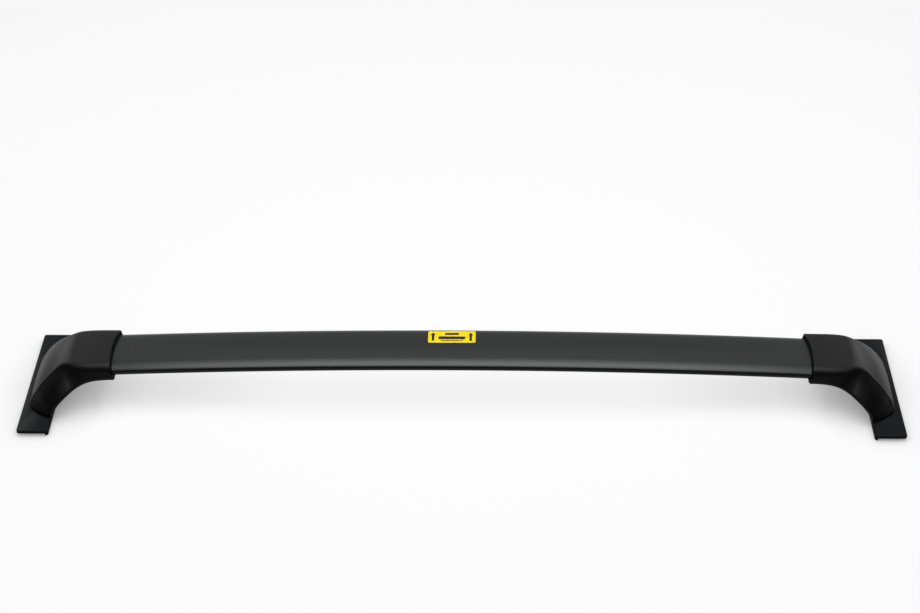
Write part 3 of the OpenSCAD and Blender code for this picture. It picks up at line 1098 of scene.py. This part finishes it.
@dataclass
class Lamp:
    """A softbox round the bar, placed by its tilt behind the vertical.

    Attributes:
        name: the lamp's name.
        tilt: how far it stands behind the vertical through the bar, in degrees.
        span: the angle that it covers across the bar, in degrees.
        length: its length along the bar, in metres.
        radiance: how bright its face is.
        distance: how far it stands from the bar, in metres.
        reach: what it acts on.
        turn: how far it is turned round the vertical, in degrees.
        aim_z: the height that it faces, in metres.
    """

    name: str
    tilt: float
    span: float
    length: float
    radiance: float
    distance: float = 1.2
    reach: Reach = Reach.REFLECTIONS
    turn: float = 0.0
    aim_z: float = 0.06

    def build(self) -> None:
        """Adds the lamp, facing the bar."""
        angle = math.radians(self.tilt)
        turn = math.radians(self.turn)
        aim = Euler((-angle, 0, turn)).to_matrix() @ Vector((0, 0, 1))
        depth = 2 * self.distance * math.tan(math.radians(self.span / 2))
        bpy.ops.object.light_add(
            type="AREA",
            location=aim * self.distance + Vector((0, 0, self.aim_z)),
            rotation=(-angle, 0, turn),
        )
        lamp = bpy.context.object
        lamp.name = self.name
        lamp.data.shape = "RECTANGLE"
        lamp.data.size, lamp.data.size_y = self.length, depth
        lamp.data.energy = self.radiance * math.pi * self.length * depth
        lamp.visible_camera = False
        lamp.visible_diffuse = self.reach is Reach.COLOUR
        lamp.visible_glossy = self.reach is Reach.REFLECTIONS


@dataclass
class Studio:
    """The pale floor, the softboxes, the world and the camera.

    Attributes:
        floor_half: half the floor's side, in metres.
        floor_tone: the floor's sRGB colour under the lamps.
        floor_glow: what the floor shows above that, where no painted shade darkens it.
        contact_reach: how near the object must be to darken the floor's glow with painted
            shade, in metres.
        contact_depth: the share of the glow that the painted shade takes away at most.
        contact_samples: rays that look for the object, to place the painted shade.
        world_level: the surround's light on the object; it shows as 1.
        camera_place: in metres.
        camera_pitch, camera_yaw, camera_roll: how the camera is turned.
        camera_lens, sensor: focal length and sensor width.
        card_radius, card_height, card_gap: the card and its gap to the floor, in metres.
        card_back: how far the card reaches behind the bar, in metres.
        card_steps: faces round the card's full circle.
        card_tone: the card's sRGB colour.
        lamps: the softboxes.
    """

    floor_half: float = 9.0
    floor_tone: str = "#616161"
    floor_glow: float = 0.885
    # Painted shade: how near, how deep and with how many rays the floor's glow is darkened
    # near the object.
    contact_reach: float = 0.054
    contact_depth: float = 0.86
    contact_samples: int = 16
    world_level: float = 0.1
    camera_place: tuple = (0.0308, -1.7803, 1.521)
    camera_pitch: float = 38.0
    camera_yaw: float = 1.025
    camera_roll: float = -0.342
    camera_lens: float = 73.09
    sensor: float = 36.0
    card_radius: float = 1.3
    card_height: float = 1.7
    card_gap: float = 0.002
    card_back: float = 0.12
    card_steps: int = 72
    card_tone: str = "#020202"
    lamps: tuple = (
        Lamp("overhead_softbox", 8.0, 36.0, 1.6, 4.0, reach=Reach.COLOUR),
        Lamp("rear_panel", 29.5, 33.0, 1.3, 1.8),
        Lamp("overhead_panel", 3.0, 20.0, 1.4, 7.5),
        Lamp("front_strip", -19.5, 25.0, 1.36, 15.5),
        Lamp("front_edge_strip", -38.0, 11.0, 1.25, 6.0),
        Lamp("left_panel", 66.0, 34.0, 1.4, 4.2, 2.0, turn=60.0),
        Lamp("right_panel", 66.0, 34.0, 1.4, 4.2, 2.0, turn=-60.0),
    )

    @staticmethod
    def shown(tree: bpy.types.NodeTree) -> bpy.types.NodeSocket:
        """Tells what the camera sees from what only lights the object.

        Args:
            tree: the node tree to add to.

        Returns:
            A socket that is 1 for camera, glossy and transmission rays, and else 0.
        """
        rays = add_node(tree, "ShaderNodeLightPath").outputs
        direct = add_node(
            tree,
            "ShaderNodeMath",
            {"operation": "ADD"},
            links={0: rays["Is Camera Ray"], 1: rays["Is Glossy Ray"]},
        )
        return add_node(
            tree,
            "ShaderNodeMath",
            {"operation": "ADD", "use_clamp": True},
            links={0: direct.outputs[0], 1: rays["Is Transmission Ray"]},
        ).outputs[0]

    def floor(self) -> None:
        """A wide pale floor that shows white, darkened near the object by painted shade in
        its glow.
        """
        bpy.ops.object.select_all(action="DESELECT")
        bpy.ops.mesh.primitive_plane_add(size=2 * self.floor_half, location=(0, 0, 0))
        floor = bpy.context.object
        floor.name = "studio_floor"
        material = bpy.data.materials.new("pale_matt_floor")
        material.use_nodes = True
        tree = material.node_tree
        tree.nodes.clear()
        # Painted shade: ambient occlusion darkens the floor's glow near the object, a
        # contact shadow painted into its emission.
        near = add_node(
            tree,
            "ShaderNodeAmbientOcclusion",
            {"samples": self.contact_samples},
            {"Distance": self.contact_reach},
        )
        shade = add_node(
            tree,
            "ShaderNodeMapRange",
            values={
                "To Min": self.floor_glow * (1 - self.contact_depth),
                "To Max": self.floor_glow,
            },
            links={"Value": near.outputs["AO"]},
        )
        glow_level = add_node(
            tree,
            "ShaderNodeMath",
            {"operation": "MULTIPLY"},
            links={0: self.shown(tree), 1: shade.outputs["Result"]},
        )
        glow = add_node(
            tree,
            "ShaderNodeEmission",
            links={"Strength": glow_level.outputs[0]},
        )
        matt = add_node(
            tree, "ShaderNodeBsdfDiffuse", values={"Color": linear(self.floor_tone)}
        )
        both = add_node(
            tree,
            "ShaderNodeAddShader",
            links={0: glow.outputs[0], 1: matt.outputs[0]},
        )
        add_node(
            tree, "ShaderNodeOutputMaterial", links={"Surface": both.outputs[0]}
        )
        floor.data.materials.append(material)

    def world(self) -> None:
        """A white surround for the camera and reflections, and a dim one for light."""
        world = bpy.data.worlds.new("studio_world")
        bpy.context.scene.world = world
        world.use_nodes = True
        tree = world.node_tree
        tree.nodes.clear()
        level = add_node(
            tree,
            "ShaderNodeMapRange",
            values={"To Min": self.world_level, "To Max": 1.0},
            links={"Value": self.shown(tree)},
        )
        light = add_node(
            tree,
            "ShaderNodeBackground",
            values={"Color": (1, 1, 1, 1)},
            links={"Strength": level.outputs["Result"]},
        )
        add_node(
            tree,
            "ShaderNodeOutputWorld",
            links={"Surface": light.outputs["Background"]},
        )

    def flag(self) -> None:
        """A round black card in front, out of the frame, which keeps the front dark."""
        bpy.ops.object.select_all(action="DESELECT")
        bpy.ops.mesh.primitive_cylinder_add(
            vertices=self.card_steps,
            radius=self.card_radius,
            depth=self.card_height,
            end_fill_type="NOTHING",
            location=(0, 0, self.card_height / 2 + self.card_gap),
        )
        card = bpy.context.object
        card.name = "black_card"
        with editing(card):
            bpy.ops.mesh.select_all(action="SELECT")
            bpy.ops.mesh.bisect(
                plane_co=(0, self.card_back, 0), plane_no=(0, 1, 0), clear_outer=True
            )
        settle(card)
        material = bpy.data.materials.new("black_velvet_card")
        material.use_nodes = True
        tree = material.node_tree
        tree.nodes.clear()
        black = add_node(
            tree, "ShaderNodeBsdfDiffuse", values={"Color": linear(self.card_tone)}
        )
        add_node(
            tree, "ShaderNodeOutputMaterial", links={"Surface": black.outputs[0]}
        )
        card.data.materials.append(material)
        for kind in ("camera", "diffuse", "transmission", "shadow"):
            setattr(card, f"visible_{kind}", False)

    def camera(self) -> None:
        """The camera at the photograph's place, with a long lens."""
        turn = (
            Matrix.Rotation(math.radians(self.camera_yaw), 3, "Z")
            @ Matrix.Rotation(math.radians(90 - self.camera_pitch), 3, "X")
            @ Matrix.Rotation(math.radians(self.camera_roll), 3, "Z")
        )
        bpy.ops.object.camera_add(location=self.camera_place, rotation=turn.to_euler())
        camera = bpy.context.object
        camera.name = "studio_camera"
        camera.data.lens = self.camera_lens
        camera.data.sensor_width = self.sensor
        bpy.context.scene.camera = camera

    def build(self) -> None:
        """Sets up the whole studio."""
        self.floor()
        self.flag()
        self.world()
        self.camera()
        for lamp in self.lamps:
            lamp.build()
        bpy.context.scene.view_settings.view_transform = "Standard"


@dataclass
class Crossbar:
    """The whole part: the bar, its label and two feet."""

    finishes: Finishes = field(default_factory=Finishes)

    def parts(self) -> list:
        """Everything that is built, in order.

        Returns:
            Objects with a build method that takes the finishes.
        """
        parts = [
            BowedBar(),
            ShapedPart("direction_label", "label_yellow", edge_mm=0.0),
            ShapedPart("label_print", "label_black", edge_mm=0.0),
        ]
        for side in Side:
            word = side.word
            parts += [
                FootCover(side),
                ShapedPart(f"arm_{word}", "arm_coat"),
                ShapedPart(f"base_plate_{word}", "plate_coat", edge_mm=0.6),
                ShapedPart(f"rubber_pad_{word}", "pad_rubber", edge_mm=0.5),
                ShapedPart(f"collar_seal_{word}", "seal_rubber", edge_mm=0.0),
                ShapedPart(f"rim_seal_{word}", "seal_rubber", edge_mm=0.0),
                ShapedPart(f"thread_inserts_{word}", "insert_steel", edge_mm=0.2),
                ShapedPart(f"bar_screws_{word}", "screw_steel", edge_mm=0.3),
                ShapedPart(f"plate_screws_{word}", "screw_steel", edge_mm=0.2),
            ]
        return parts

    def build(self) -> None:
        """Builds every piece and reports it."""
        for part in self.parts():
            piece = part.build(self.finishes)
            LOG.info("%s: %d faces", piece.name, len(piece.data.polygons))


def main() -> None:
    """Builds the part and its studio."""
    logging.basicConfig(level=logging.INFO, format="%(name)s: %(message)s")
    Crossbar().build()
    Studio().build()


if __name__ == "__main__":
    main()
